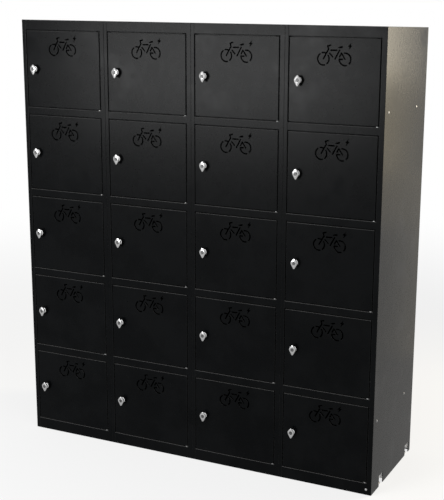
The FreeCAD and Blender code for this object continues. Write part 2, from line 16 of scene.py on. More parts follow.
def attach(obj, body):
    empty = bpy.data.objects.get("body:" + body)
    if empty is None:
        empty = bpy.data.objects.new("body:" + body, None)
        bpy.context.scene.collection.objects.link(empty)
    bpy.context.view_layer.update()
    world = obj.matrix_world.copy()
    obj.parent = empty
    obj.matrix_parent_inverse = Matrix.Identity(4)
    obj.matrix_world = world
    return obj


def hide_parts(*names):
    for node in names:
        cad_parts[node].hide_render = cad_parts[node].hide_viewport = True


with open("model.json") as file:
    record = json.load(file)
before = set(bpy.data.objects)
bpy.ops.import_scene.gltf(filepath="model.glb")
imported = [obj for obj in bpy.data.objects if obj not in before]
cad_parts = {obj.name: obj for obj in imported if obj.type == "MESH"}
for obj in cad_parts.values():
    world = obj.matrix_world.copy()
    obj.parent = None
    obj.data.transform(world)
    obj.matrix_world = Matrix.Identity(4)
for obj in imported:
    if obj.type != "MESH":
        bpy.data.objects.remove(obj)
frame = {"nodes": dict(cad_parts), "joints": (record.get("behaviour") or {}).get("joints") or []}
scene = bpy.context.scene
MM = 0.001
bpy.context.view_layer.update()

# %% [markdown]
# ## The camera
# A tall, wide box shows the lens very clearly, because its edges run to three vanishing points. The place,
# the aim and the focal length below were fitted to the corners of the bank and to its long straight edges.
# The picture is the left part of a wider one, so the lens is shifted sideways. A small shift is used here:
# it keeps the object inside the frame when the camera walks round it.

# %% Camera
CAMERA_PLACE = Vector((1.992, -3.765, 1.800))
CAMERA_AIM = Vector((0.3568, 0.0, 0.8927))
CAMERA_LEAN = math.radians(1.09)
FOCAL_LENGTH = 73.38
SIDEWAYS_SHIFT = -0.15
SENSOR_WIDTH = 36.0
FAR_CLIP = 80.0


def make_camera():
    lens = bpy.data.cameras.new("camera")
    lens.lens = FOCAL_LENGTH
    lens.sensor_width = SENSOR_WIDTH
    lens.shift_x = SIDEWAYS_SHIFT
    lens.clip_end = FAR_CLIP
    camera = bpy.data.objects.new("camera", lens)
    look = (CAMERA_AIM - CAMERA_PLACE).to_track_quat("-Z", "Y").to_matrix().to_4x4()
    camera.matrix_world = Matrix.Translation(CAMERA_PLACE) @ look @ Matrix.Rotation(CAMERA_LEAN, 4, "Z")
    scene.collection.objects.link(camera)
    scene.camera = camera


make_camera()
print("the camera stands", round((CAMERA_AIM - CAMERA_PLACE).length, 2), "m from its aim")

# %% [markdown]
# ## Sums on sockets
# A shader is easier to read as a formula than as a net of nodes. This small class wraps one socket, so that
# masks can be added, multiplied and taken from one in plain Python. Every other node goes through `node`.


# %% Socket sums
class Wire:
    """One output socket of a node tree that takes part in Python sums."""

    def __init__(self, tree, socket=None):
        self.tree = tree
        self.socket = socket

    def node(self, kind, settings=None, inputs=None, output=0):
        """Adds a node: settings are set first, then each input gets a value or a link."""
        made = self.tree.nodes.new(kind)
        for name, value in (settings or {}).items():
            setattr(made, name, value)
        for name, value in (inputs or {}).items():
            if isinstance(value, Wire):
                self.tree.links.new(value.socket, made.inputs[name])
            else:
                made.inputs[name].default_value = value
        return Wire(self.tree, made.outputs[output])

    def combine(self, operation, first, second):
        return self.node("ShaderNodeMath", {"operation": operation}, {0: first, 1: second})

    def __add__(self, other):
        return self.combine("ADD", self, other)

    __radd__ = __add__

    def __mul__(self, other):
        return self.combine("MULTIPLY", self, other)

    __rmul__ = __mul__

    def __sub__(self, other):
        return self.combine("SUBTRACT", self, other)

    def __rsub__(self, other):
        return self.combine("SUBTRACT", other, self)

    def ramp(self, low, high, to_low=0.0, to_high=1.0):
        """A smooth step from to_low to to_high as the value goes from low to high."""
        inputs = {"Value": self, "From Min": low, "From Max": high, "To Min": to_low, "To Max": to_high}
        return self.node("ShaderNodeMapRange", {"interpolation_type": "SMOOTHSTEP"}, inputs)

    def blend(self, first, second):
        """A colour between two colours, by this value from 0 to 1."""
        return self.node("ShaderNodeMix", {"data_type": "RGBA"}, {0: self, 6: first, 7: second}, output=2)


def grey(value, warmth=0.0):
    """A grey that is a little warm or, below zero, a little cool."""
    return (value * (1 + warmth), value, value * (1 - warmth), 1.0)


def new_material(name):
    """A material with its tree, its shader and a wire of its object coordinates."""
    material = bpy.data.materials.new(name)
    material.use_nodes = True
    tree = material.node_tree
    shader = tree.nodes["Principled BSDF"]
    place = Wire(tree).node("ShaderNodeTexCoord", output="Object")
    return material, tree, shader, place


def noise(place, scale, detail, roughness=0.5, stretch=(1, 1, 1), shift=(0, 0, 0)):
    """A cloudy pattern from 0 to 1 with about `scale` patches in a metre."""
    moved = place.node("ShaderNodeMapping", inputs={"Vector": place, "Scale": stretch, "Location": shift})
    inputs = {"Vector": moved, "Scale": scale, "Detail": detail, "Roughness": roughness}
    return place.node("ShaderNodeTexNoise", inputs=inputs)


def bump(height, strength, distance):
    inputs = {"Height": height, "Strength": strength, "Distance": distance}
    return height.node("ShaderNodeBump", inputs=inputs)


def connect(tree, shader, **wires):
    """Links each wire to the shader's input of that name, with spaces for underscores."""
    for name, wire in wires.items():
        tree.links.new(wire.socket, shader.inputs[name.replace("_", " ")])


print("socket sums are ready")

# %% [markdown]
# ## Satin black powder coat
# Powder is sprayed dry and melts into a tough skin. Close up, the skin has a fine orange peel, a few
# hundredths of a millimetre high and two millimetres wide, which breaks up every reflection. It could be
# carved as geometry, but a bump at that scale costs nothing. Hands and cloths leave broad patches that are
# a little shinier or duller, and some dust settles where a face looks up. The bends are painted paler as a
# painted highlight, most of all those that look up, which draws a thin light line along each of them. The
# skin reflects little, so its gloss is low.

# %% Powder coat
PEEL_PER_METRE = 430.0
PEEL_STRENGTH = 0.05
PEEL_HEIGHT = 0.05 * MM
MIST_PER_METRE = 38.0
HANDS_PER_METRE = 5.5
RUBS_PER_METRE = 24.0
COAT_TONE = 0.0008
CLOUD_TONE = 0.0024
COAT_GLOSS = 0.050
COAT_ROUGHNESS = 0.25
# The paler bends are a painted highlight: its tone and its shares follow.
BEND_HIGHLIGHT_TONE = 0.15
BEND_HIGHLIGHT_SHARE = 0.42
SIDE_BEND_HIGHLIGHT_SHARE = 0.18
SCUFF_TONE = 0.032
DUST_TONE = 0.14
DUST_SHARE = 0.18


def powder_coat():
    material, tree, shader, place = new_material("black_powder_coat")
    peel = noise(place, PEEL_PER_METRE, detail=1.5)
    mist = noise(place, MIST_PER_METRE, detail=3.0)
    hands = noise(place, HANDS_PER_METRE, detail=4.0, roughness=0.62, shift=(3.1, 0.4, 1.7))
    upright = (1.0, 1.0, 2.6)
    rubs = noise(place, RUBS_PER_METRE, detail=5.0, roughness=0.7, stretch=upright, shift=(0.2, 5.0, 0.9))
    smudge = hands.ramp(0.50, 0.72)
    scuff = rubs.ramp(0.66, 0.76) * hands.ramp(0.46, 0.60)
    facing = place.node("ShaderNodeNewGeometry", output="Normal")
    rise = place.node("ShaderNodeSeparateXYZ", inputs={0: facing}, output=2)
    across = place.node("ShaderNodeSeparateXYZ", inputs={0: facing}, output=0)
    across = across.combine("ABSOLUTE", across, 0.0)
    dust = rise.ramp(0.75, 1.0) * mist.ramp(0.25, 0.75, 0.35, 1.0)
    # Painted highlight: bends that face up, and less those that face sideways, are painted paler as thin
    # light lines.
    side_bend_highlight = across.ramp(0.10, 0.50) * across.ramp(0.80, 0.98, SIDE_BEND_HIGHLIGHT_SHARE, 0.0)
    painted_bend_highlight = rise.ramp(0.10, 0.50) * rise.ramp(0.80, 0.98, 1.0, 0.0) + side_bend_highlight
    coat = hands.ramp(0.36, 0.66).blend(grey(COAT_TONE, -0.35), grey(CLOUD_TONE, -0.15))
    coat = scuff.blend(coat, grey(SCUFF_TONE, -0.05))
    coat = (dust * DUST_SHARE).blend(coat, grey(DUST_TONE, 0.05))
    # Painted highlight: the bends are blended towards a pale grey.
    coat = (painted_bend_highlight * BEND_HIGHLIGHT_SHARE).blend(coat, grey(BEND_HIGHLIGHT_TONE))
    rough = COAT_ROUGHNESS + mist * 0.05 - smudge * 0.08 + scuff * 0.07 + dust * 0.18 + painted_bend_highlight * 0.10
    skin = bump(peel, PEEL_STRENGTH, PEEL_HEIGHT)
    connect(tree, shader, Base_Color=coat, Roughness=rough, Normal=skin)
    shader.inputs["Specular IOR Level"].default_value = COAT_GLOSS
    return material


black_coat = powder_coat()
print("powder coat:", len(black_coat.node_tree.nodes), "nodes")

# %% [markdown]
# ## The bright metals
# The lock heads are satin chrome, with a faint haze where fingers turn them. The turned necks behind them
# take a brighter copy of the same chrome: the heads' darker tone is painted shade and the necks' brighter
# tone a painted highlight. The key cylinders are dark nickel, duller and turned on a lathe. The fasteners
# are zinc plated, which is softer again and drifts slightly between blue and straw. The rivets have
# weathered to a dull grey. One function covers all five, because only the numbers differ.


# %% Metals
METAL_MARK_STRENGTH = 0.3


def bright_metal(name, tone, roughness, haze, tint_drift, marks_per_metre, mark_depth):
    material, tree, shader, place = new_material(name)
    cloud = noise(place, 140.0, detail=3.0)
    drift = noise(place, 55.0, detail=1.0, shift=(1.3, 2.2, 0.6))
    marks = noise(place, marks_per_metre, detail=3.0, roughness=0.6, stretch=(1.0, 0.35, 1.0))
    metal = drift.blend(grey(tone, -tint_drift), grey(tone, tint_drift))
    rough = roughness + cloud.ramp(0.45, 0.75) * haze
    grain = bump(marks, METAL_MARK_STRENGTH, mark_depth)
    connect(tree, shader, Base_Color=metal, Roughness=rough, Normal=grain)
    shader.inputs["Metallic"].default_value = 1.0
    return material


# Painted shade and painted highlight: the heads' chrome is a darker copy of the necks' chrome.
chrome = bright_metal("chrome", 0.38, 0.24, 0.10, 0.01, 900.0, 0.004 * MM)
chrome_painted_highlight = bright_metal("chrome_painted_highlight", 0.75, 0.14, 0.08, 0.01, 900.0, 0.004 * MM)
nickel = bright_metal("nickel_key_face", 0.10, 0.46, 0.10, 0.02, 2600.0, 0.012 * MM)
zinc = bright_metal("bright_zinc", 0.62, 0.30, 0.14, 0.05, 1500.0, 0.015 * MM)
dull_zinc = bright_metal("dull_zinc", 0.30, 0.46, 0.12, 0.03, 1200.0, 0.020 * MM)
print("metals:", [metal.name for metal in (chrome, chrome_painted_highlight, nickel, zinc, dull_zinc)])

# %% [markdown]
# ## The dark lock collar
# The collar on the door is a turned ring, oiled black, smoother and darker than the powder coat round it.


# %% Lock collar finish
COLLAR_TONE = 0.0012
WORN_TONE = 0.006
COLLAR_ROUGHNESS = 0.34
COLLAR_GLOSS = 0.035


def collar_black():
    material, tree, shader, place = new_material("oiled_black_collar")
    turned_marks = noise(place, 700.0, detail=1.0, stretch=(0.4, 1.0, 0.4))
    worn = noise(place, 90.0, detail=4.0).ramp(0.55, 0.8)
    tone = worn.blend(grey(COLLAR_TONE), grey(WORN_TONE, 0.03))
    rough = COLLAR_ROUGHNESS + worn * 0.12
    grooves = bump(turned_marks, 0.2, 0.01 * MM)
    connect(tree, shader, Base_Color=tone, Roughness=rough, Normal=grooves)
    shader.inputs["Specular IOR Level"].default_value = COLLAR_GLOSS
    return material


oiled_black = collar_black()
print("collar finish:", oiled_black.name)

# %% [markdown]
# ## Sheets that keep their shape
# The shells, front frames, shelves, floors, lids and side panels are folded sheets whose bends are already
# exact in the engineering model. They could be drawn again, but nothing would be gained. They keep their
# meshes and take the powder coat.

# %% Coat the sheets
SHEET_WORDS = ("shell", "front_frame", "shelves", "column_floors", "column_tops", "side_panel")
sheets = [node for name, node in frame["nodes"].items() if any(word in name for word in SHEET_WORDS)]
for sheet in sheets:
    for spot in sheet.material_slots:
        spot.material = black_coat
slot_counts = sorted({len(sheet.material_slots) for sheet in sheets})
print(len(sheets), "sheet nodes take the coat, slots:", slot_counts)

# %% [markdown]
# ## How a new piece is finished
# Every new piece ends the same way. Doubled points are merged and its faces turned outwards. Curved parts
# are shaded smooth, creases stay sharp, and wide flat faces keep their own direction next to a small bend.
# Its object sits at the origin, because its place is in its mesh, and it rides on the body that carries
# the real one.

# %% Finishing helpers
CREASE = math.radians(35)
WELD = 0.005 * MM


def to_mesh(bm, name):
    """Closes a bmesh: doubles merged, faces outwards."""
    bmesh.ops.remove_doubles(bm, verts=bm.verts, dist=WELD)
    bmesh.ops.recalc_face_normals(bm, faces=bm.faces)
    mesh = bpy.data.meshes.new(name)
    bm.to_mesh(mesh)
    bm.free()
    return mesh


def add_piece(name, mesh, material, body, slot, *nodes):
    """Puts a finished mesh in the scene as a piece that rides on a body and stands for CAD nodes."""
    mesh.name = name
    mesh.shade_smooth()
    mesh.set_sharp_from_angle(angle=CREASE)
    mesh.materials.clear()
    mesh.materials.append(material)
    piece = bpy.data.objects.new(name, mesh)
    scene.collection.objects.link(piece)
    even = piece.modifiers.new("even_shading", "WEIGHTED_NORMAL")
    even.keep_sharp = True
    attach(piece, body)
    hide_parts(*nodes)
    return piece


def copy_at(mesh, place):
    copy = mesh.copy()
    copy.transform(Matrix.Translation(place))
    return copy


def carve(mesh, cutter, operation="DIFFERENCE"):
    """Cuts, joins or trims one mesh by another with an exact Boolean and returns the new mesh."""
    body = bpy.data.objects.new("being_cut", mesh)
    tool = bpy.data.objects.new("cutter", cutter)
    scene.collection.objects.link(body)
    scene.collection.objects.link(tool)
    cut = body.modifiers.new("cut", "BOOLEAN")
    cut.object = tool
    cut.operation = operation
    cut.solver = "EXACT"
    cut.use_self = True
    made = bpy.data.meshes.new_from_object(body.evaluated_get(bpy.context.evaluated_depsgraph_get()))
    bpy.data.objects.remove(body)
    bpy.data.objects.remove(tool)
    return made


def soften(bm, edges, width, steps):
    """Rounds edges as a press or a file does."""
    bmesh.ops.bevel(
        bm, geom=edges, offset=width, offset_type="OFFSET", affect="EDGES",
        segments=steps, profile=0.5, material=-1, clamp_overlap=True,
    )


def turned(profile, name, steps):
    """A lathe: a profile of radius and height in millimetres, spun round the Z axis."""
    bm = bmesh.new()
    verts = [bm.verts.new((radius * MM, 0, height * MM)) for radius, height in profile]
    edges = [bm.edges.new(pair) for pair in zip(verts, verts[1:])]
    if profile[0][0] > 0:
        edges.append(bm.edges.new((verts[-1], verts[0])))
    bmesh.ops.spin(
        bm, geom=verts + edges, axis=(0, 0, 1), cent=(0, 0, 0),
        angle=2 * math.pi, steps=steps, use_merge=True,
    )
    return to_mesh(bm, name)


def aim(mesh, direction):
    """Turns a mesh so that its Z axis points in a direction."""
    mesh.transform(Vector((0, 0, 1)).rotation_difference(Vector(direction)).to_matrix().to_4x4())
    return mesh


def merge(name, meshes):
    """Several meshes as one."""
    bm = bmesh.new()
    for mesh in meshes:
        bm.from_mesh(mesh)
    whole = bpy.data.meshes.new(name)
    bm.to_mesh(whole)
    bm.free()
    return whole


print("pieces are creased at", round(math.degrees(CREASE)), "degrees")

# %% [markdown]
# ## Where the doors and locks are
# The joints of the engineering model hold the exact axes. A door's hinge is a vertical line, and a lock
# turns about a line through its collar. All twenty doors are alike, so one leaf and one lock are modelled
# about the lock's axis, and copies go to the others.

# %% Door and lock places
hubs = {}
hinges = {}
for joint in frame["joints"]:
    number = joint["name"].split("_")[1]
    place_of = hubs if joint["name"].startswith("lock") else hinges
    place_of[number] = Vector(joint["pos_m"])
numbers = sorted(hubs)
hub_to_hinge = (hinges["01"] - hubs["01"]) / MM
print(len(numbers), "doors; from the lock to the hinge:", [round(part, 2) for part in hub_to_hinge], "mm")

# %% [markdown]
# ## The sign
# A laser cuts the sign through the door sheet before the sheet is folded: an electric bicycle, drawn as
# separate strokes with round ends, so that no inner part drops out. Here each stroke is a bar with a round
# pin at each end, each part of a wheel is a spun ring, and the saddle and the flash are small plates. They
# overlap freely, and one Boolean takes them all out of the leaf. The sizes are in millimetres from the
# middle between the two hubs.

# %% Sign cutters
STROKE = 5.6
WHEEL_BASE = 85.0
WHEEL_RADIUS = 22.5
CUT_DEPTH = 8.0
ARC_STEP = 7
FRONT_WHEEL_ARCS = ((127, 282), (310, 394), (64, 101))
REAR_WHEEL_ARCS = ((187, 283), (318, 459))
STEERING = ((-42.5, 0.0), (-32.0, 19.5), (-22.5, 34.5), (-26.5, 46.5), (-15.0, 49.5))
TOP_TUBE = ((-13.0, 31.7), (9.5, 31.7))
DOWN_TUBE = ((-18.0, 20.5), (-6.0, 7.5))
SEAT_TUBE = ((20.5, 32.0), (3.5, 0.5))
STAYS = ((21.0, 8.5), (28.0, 22.0), (42.5, 0.5))
CHAIN_STAY = ((20.0, 0.0), (32.5, 0.0))
SADDLE = ((12.0, 41.0), (22.0, 46.0), (32.0, 47.5), (32.5, 41.0), (20.0, 39.0))
FLASH = ((67.5, 62.0), (52.0, 45.5), (59.0, 44.5), (54.5, 32.5), (70.0, 49.5), (62.5, 50.5))


def pin_cutter(bm, u, v, radius=STROKE / 2, steps=20):
    """A short round bar through the sheet."""
    turn = Matrix.Translation((u, 0, v)) @ Matrix.Rotation(math.pi / 2, 4, "X")
    bmesh.ops.create_cone(
        bm, cap_ends=True, segments=steps, radius1=radius, radius2=radius,
        depth=CUT_DEPTH, matrix=turn,
    )


def stroke_cutter(bm, points):
    for u, v in points:
        pin_cutter(bm, u, v)
    for (u0, v0), (u1, v1) in zip(points, points[1:]):
        length = math.hypot(u1 - u0, v1 - v0)
        middle = Matrix.Translation(((u0 + u1) / 2, 0, (v0 + v1) / 2))
        turn = Matrix.Rotation(-math.atan2(v1 - v0, u1 - u0), 4, "Y")
        size = Matrix.Diagonal((length, CUT_DEPTH, STROKE, 1))
        bmesh.ops.create_cube(bm, size=1.0, matrix=middle @ turn @ size)


def arc_cutter(bm, hub_u, start, end):
    """Part of a wheel: a small upright rectangle spun round the hub."""
    half = CUT_DEPTH / 2
    corners = ((-STROKE / 2, -half), (STROKE / 2, -half), (STROKE / 2, half), (-STROKE / 2, half))
    face = bm.faces.new([bm.verts.new((hub_u + WHEEL_RADIUS + u, y, 0)) for u, y in corners])
    geometry = [face, *face.verts, *face.edges]
    hub_place = (hub_u, 0, 0)
    turn = Matrix.Rotation(-math.radians(start), 3, "Y")
    bmesh.ops.rotate(bm, verts=face.verts[:], cent=hub_place, matrix=turn)
    bmesh.ops.spin(
        bm, geom=geometry, axis=(0, -1, 0), cent=hub_place,
        angle=math.radians(end - start), steps=max(4, round((end - start) / ARC_STEP)),
    )
    for angle in (math.radians(start), math.radians(end)):
        pin_cutter(bm, hub_u + WHEEL_RADIUS * math.cos(angle), WHEEL_RADIUS * math.sin(angle))


def plate_cutter(bm, outline):
    face = bm.faces.new([bm.verts.new((u, -CUT_DEPTH / 2, v)) for u, v in outline])
    made = bmesh.ops.extrude_face_region(bm, geom=[face])
    verts = [part for part in made["geom"] if isinstance(part, bmesh.types.BMVert)]
    bmesh.ops.translate(bm, verts=verts, vec=(0, CUT_DEPTH, 0))


def sign_cutter():
    bm = bmesh.new()
    for hub_u, arcs in ((-WHEEL_BASE / 2, FRONT_WHEEL_ARCS), (WHEEL_BASE / 2, REAR_WHEEL_ARCS)):
        for start, end in arcs:
            arc_cutter(bm, hub_u, start, end)
    for points in (STEERING, TOP_TUBE, DOWN_TUBE, SEAT_TUBE, STAYS, CHAIN_STAY):
        stroke_cutter(bm, points)
    for outline in (SADDLE, FLASH):
        plate_cutter(bm, outline)
    bmesh.ops.recalc_face_normals(bm, faces=bm.faces)
    return bm


print("the sign has", len(FRONT_WHEEL_ARCS) + len(REAR_WHEEL_ARCS), "wheel arcs")

# %% [markdown]
# ## The door leaf
# The leaf is a shallow pan: one blank, cut by laser and folded back on four sides, with bends two
# millimetres round. Here a box loses its back, its front edges are bevelled into the bends, and solidify
# gives the sheet its thickness inwards. The holes of the sign, the lock and the hinge pins are then cut
# through.

# %% Door leaf
LEAF_LEFT = -41.5
LEAF_RIGHT = 316.5
LEAF_HALF_HEIGHT = 156.0
LEAF_DEPTH = 16.0
SHEET = 1.5
BEND = 2.0
SIGN_CENTRE = (137.5, 80.5)
BARREL_RADIUS = 9.5
PIN_HOLE_RADIUS = 2.55


def leaf_pan():
    bm = bmesh.new()
    width = LEAF_RIGHT - LEAF_LEFT
    size = Matrix.Diagonal((width, LEAF_DEPTH, 2 * LEAF_HALF_HEIGHT, 1))
    place = Matrix.Translation(((LEAF_LEFT + LEAF_RIGHT) / 2, LEAF_DEPTH / 2, 0))
    bmesh.ops.create_cube(bm, size=1.0, matrix=place @ size)
    back = [face for face in bm.faces if face.normal.y > 0.9]
    bmesh.ops.delete(bm, geom=back, context="FACES_ONLY")
    front = [edge for edge in bm.edges if all(vert.co.y < 0.1 for vert in edge.verts)]
    soften(bm, front, BEND, 5)
    bmesh.ops.recalc_face_normals(bm, faces=bm.faces)
    bmesh.ops.solidify(bm, geom=bm.faces[:], thickness=SHEET)
    return bm


def holes():
    bm = sign_cutter()
    bmesh.ops.translate(bm, verts=bm.verts, vec=(SIGN_CENTRE[0], 0, SIGN_CENTRE[1]))
    pin_cutter(bm, 0, 0, BARREL_RADIUS, 48)
    for height in (-LEAF_HALF_HEIGHT, LEAF_HALF_HEIGHT):
        place = Matrix.Translation((hub_to_hinge.x, hub_to_hinge.y, height))
        bmesh.ops.create_cone(
            bm, cap_ends=True, segments=24, radius1=PIN_HOLE_RADIUS, radius2=PIN_HOLE_RADIUS,
            depth=CUT_DEPTH, matrix=place,
        )
    return bm


def door_leaf():
    pan = leaf_pan()
    bmesh.ops.scale(pan, vec=(MM, MM, MM), verts=pan.verts)
    cutter = holes()
    bmesh.ops.scale(cutter, vec=(MM, MM, MM), verts=cutter.verts)
    leaf = carve(to_mesh(pan, "leaf"), to_mesh(cutter, "holes"))
    bm = bmesh.new()
    bm.from_mesh(leaf)
    bmesh.ops.remove_doubles(bm, verts=bm.verts, dist=WELD)
    print("open edges in the leaf:", sum(1 for edge in bm.edges if not edge.is_manifold))
    return to_mesh(bm, "leaf")


leaf = door_leaf()
print("the leaf has", len(leaf.polygons), "faces")
for number in numbers:
    door = f"door_{number}"
    add_piece(f"{door}_leaf", copy_at(leaf, hubs[number]), black_coat, door, "black_powder_coat", door)

# %% [markdown]
# ## The lock's fixed parts
# A black collar sits on the door's face with a threaded barrel behind it, and a flat hexagon nut clamps
# the barrel from inside. The collar is lathe work, so it is a spun profile, threads included. The nut is a
# hexagon trimmed by a spun disc, which leaves the curved corners that a real nut has.

# %% Collar and clamp nut
COLLAR_RADIUS = 17.5
COLLAR_PROUD = 3.5
BORE_RADIUS = 4.05
BARREL_BACK = 15.0
THREAD_PITCH = 1.0
THREAD_DEPTH = 0.45
CLAMP_NUT_FLATS = 26.0
CLAMP_NUT_HEIGHT = 4.0


def thread(radius, start, end, pitch=THREAD_PITCH, depth=THREAD_DEPTH):
    """The zigzag side of a screw thread, drawn as rings, from one height to another."""
    turns = int(abs(end - start) / pitch)
    step = (end - start) / turns
    points = []
    for turn in range(turns):
        points.append((radius, start + step * (turn + 0.25)))
        points.append((radius - depth, start + step * (turn + 0.75)))
    return points


def hexagon_nut(flats, height, bore, name):
    """A nut that stands on z = 0: a hexagon whose corners a spun disc has trimmed."""
    bm = bmesh.new()
    corner = flats / math.sqrt(3)
    lift = Matrix.Translation((0, 0, height / 2 * MM))
    bmesh.ops.create_cone(
        bm, cap_ends=True, segments=6, radius1=corner * MM, radius2=corner * MM,
        depth=height * MM, matrix=lift,
    )
    rise = (corner - flats / 2) * 0.75
    inner = corner - rise * 1.6
    outer = corner + 0.1
    profile = ((bore, 0), (inner, 0), (outer, rise), (outer, height - rise), (inner, height), (bore, height))
    return carve(to_mesh(bm, name), turned(profile, "trimmer", 48), "INTERSECT")


def lock_collar():
    groove = COLLAR_PROUD - 0.35
    profile = [(BORE_RADIUS, COLLAR_PROUD - 0.4), (BORE_RADIUS + 0.4, COLLAR_PROUD)]
    profile += [(9.0, COLLAR_PROUD), (9.3, groove), (10.1, groove), (10.4, COLLAR_PROUD)]
    profile += [(COLLAR_RADIUS - 1.4, COLLAR_PROUD), (COLLAR_RADIUS - 0.6, groove)]
    profile += [(COLLAR_RADIUS, COLLAR_PROUD - 1.3)]
    profile += [(COLLAR_RADIUS, 0.0), (BARREL_RADIUS, 0.0), (BARREL_RADIUS, -SHEET)]
    profile += thread(BARREL_RADIUS, -SHEET, -BARREL_BACK + 0.5)
    profile += [(BARREL_RADIUS - 0.8, -BARREL_BACK), (BORE_RADIUS, -BARREL_BACK)]
    return aim(turned(profile, "collar", 56), (0, -1, 0))


collar = lock_collar()
clamp_nut = aim(hexagon_nut(CLAMP_NUT_FLATS, CLAMP_NUT_HEIGHT, BARREL_RADIUS, "clamp_nut"), (0, 1, 0))
clamp_nut.transform(Matrix.Translation((0, SHEET * MM, 0)))
for number in numbers:
    door = f"door_{number}"
    add_piece(f"{door}_collar", copy_at(collar, hubs[number]), oiled_black, door, "black_powder_coat", door)
    add_piece(f"{door}_clamp_nut", copy_at(clamp_nut, hubs[number]), zinc, door, "bright_zinc", door)
print("collar faces:", len(collar.polygons), "nut faces:", len(clamp_nut.polygons))

# %% [markdown]
# ## The turning parts of the lock
# The handle is a cast, chromed head, blunt at one end and pointed at the other, which shows how the cam
# lies. Its outline is three circles in a line with their common tangents, which is exactly the convex hull
# of three short rods. The hull's face is then extruded in small steps, each a little smaller and higher,
# until it is gently domed, because a flat face would mirror one lamp all over. The key cylinder sits in it.
# Behind the head are its neck, a domed base that just clears the collar, and the spindle, which carries the
# flat cam and its screw behind the door.

# %% Handle
HEAD_BACK = 14.5
HEAD_FRONT = 21.3
HEAD_RADIUS = 13.5
TOP_RADIUS = 6.0
TOP_RISE = 12.0
POINT_RADIUS = 4.0
POINT_DROP = 19.0
HEAD_RIM = 1.2
HEAD_BACK_RIM = 0.6
HEAD_DOME = 2.0
KEY_RADIUS = 6.5
KEY_SEAT_DEPTH = 6.0
NECK_RADIUS = 8.0
NECK_BACK = 3.8
BASE_RADIUS = 12.5
BASE_HEIGHT = 6.2
BASE_ROUND = 4.4
SPINDLE_RADIUS = 4.0
CAM_FRONT = 18.0
CAM_BACK = 21.0
ARC_STEPS = 10
DOME_STEPS = 8
HULL_SEGMENTS = 64
RIM_STEPS = 4


def hull_of_rods(rods, low, high, rim, back_rim):
    """The convex hull of upright rods given as x, y and radius, between two heights, with rounded rims."""
    bm = bmesh.new()
    for x, y, radius in rods:
        for z in (low, high):
            place = Matrix.Translation((x, y, z))
            bmesh.ops.create_circle(bm, cap_ends=False, segments=HULL_SEGMENTS, radius=radius, matrix=place)
    bmesh.ops.convex_hull(bm, input=bm.verts)
    wires = [edge for edge in bm.edges if not edge.link_faces]
    bmesh.ops.delete(bm, geom=wires, context="EDGES")
    spare = [vert for vert in bm.verts if not vert.link_faces]
    bmesh.ops.delete(bm, geom=spare, context="VERTS")
    bmesh.ops.dissolve_limit(bm, angle_limit=math.radians(1), verts=bm.verts, edges=bm.edges)
    for width, level in ((rim, high), (back_rim, low)):
        edges = [edge for edge in bm.edges if all(abs(vert.co.z - level) < 0.01 for vert in edge.verts)]
        soften(bm, edges, width, RIM_STEPS)
    return bm


def raise_dome(bm, rise, steps):
    """Turns the top face into a dome: it is extruded in steps, each smaller and higher than the last."""
    top = max(bm.faces, key=lambda face: face.calc_center_median().z)
    for step in range(steps - 1):
        here = 1 - step / steps
        there = 1 - (step + 1) / steps
        made = bmesh.ops.extrude_face_region(bm, geom=[top])["geom"]
        bmesh.ops.delete(bm, geom=[top], context="FACES_ONLY")
        top = next(part for part in made if isinstance(part, bmesh.types.BMFace))
        bmesh.ops.scale(bm, vec=(there / here, there / here, 1), verts=top.verts)
        bmesh.ops.translate(bm, vec=(0, 0, rise * (here**2 - there**2)), verts=top.verts)


def finish_hull(bm, name):
    bmesh.ops.scale(bm, vec=(MM, MM, MM), verts=bm.verts)
    print(name, "open edges:", sum(1 for edge in bm.edges if not edge.is_manifold))
    return to_mesh(bm, name)


def lock_handle():
    rods = ((0, TOP_RISE, TOP_RADIUS), (0, 0, HEAD_RADIUS), (0, -POINT_DROP, POINT_RADIUS))
    bm = hull_of_rods(rods, HEAD_BACK, HEAD_FRONT - HEAD_DOME, HEAD_RIM, HEAD_BACK_RIM)
    raise_dome(bm, HEAD_DOME, DOME_STEPS)
    head = finish_hull(bm, "head")
    floor = HEAD_FRONT - KEY_SEAT_DEPTH
    seat = turned(((0, floor), (KEY_RADIUS + 0.1, floor), (KEY_RADIUS + 0.1, HEAD_FRONT - 1.2),
                   (KEY_RADIUS + 1.5, HEAD_FRONT + 0.2), (0, HEAD_FRONT + 0.2)), "key_seat", 48)
    return carve(head, seat)


def lock_stem():
    """The spindle, the domed base that just clears the collar, and the neck."""
    profile = [(0, -CAM_BACK), (SPINDLE_RADIUS, -CAM_BACK), (SPINDLE_RADIUS, NECK_BACK)]
    profile += [(BASE_RADIUS - 0.5, NECK_BACK), (BASE_RADIUS, NECK_BACK + 0.5)]
    middle = BASE_RADIUS - BASE_ROUND
    level = NECK_BACK + BASE_HEIGHT - BASE_ROUND
    for step in range(ARC_STEPS + 1):
        angle = math.pi / 2 * step / ARC_STEPS
        profile.append((middle + BASE_ROUND * math.cos(angle), level + BASE_ROUND * math.sin(angle)))
    profile += [(NECK_RADIUS, level + BASE_ROUND), (NECK_RADIUS, HEAD_BACK), (0, HEAD_BACK)]
    return turned(profile, "stem", 48)


def stand_up(mesh):
    """From the drawing, where z is towards the viewer, to the door, where -y is."""
    mesh.transform(Matrix.Rotation(math.pi / 2, 4, "X"))
    return mesh


handle = stand_up(lock_handle())
stem = stand_up(lock_stem())
print("handle faces:", len(handle.polygons), "stem faces:", len(stem.polygons))

# %% [markdown]
# The key cylinder is a turned plug with a narrow keyway across its face, inside a deep rim that shows as a
# dark ring. The cam is a flat bar with one round end, punched for the spindle, and a button-head screw with
# a hexagon socket holds it.

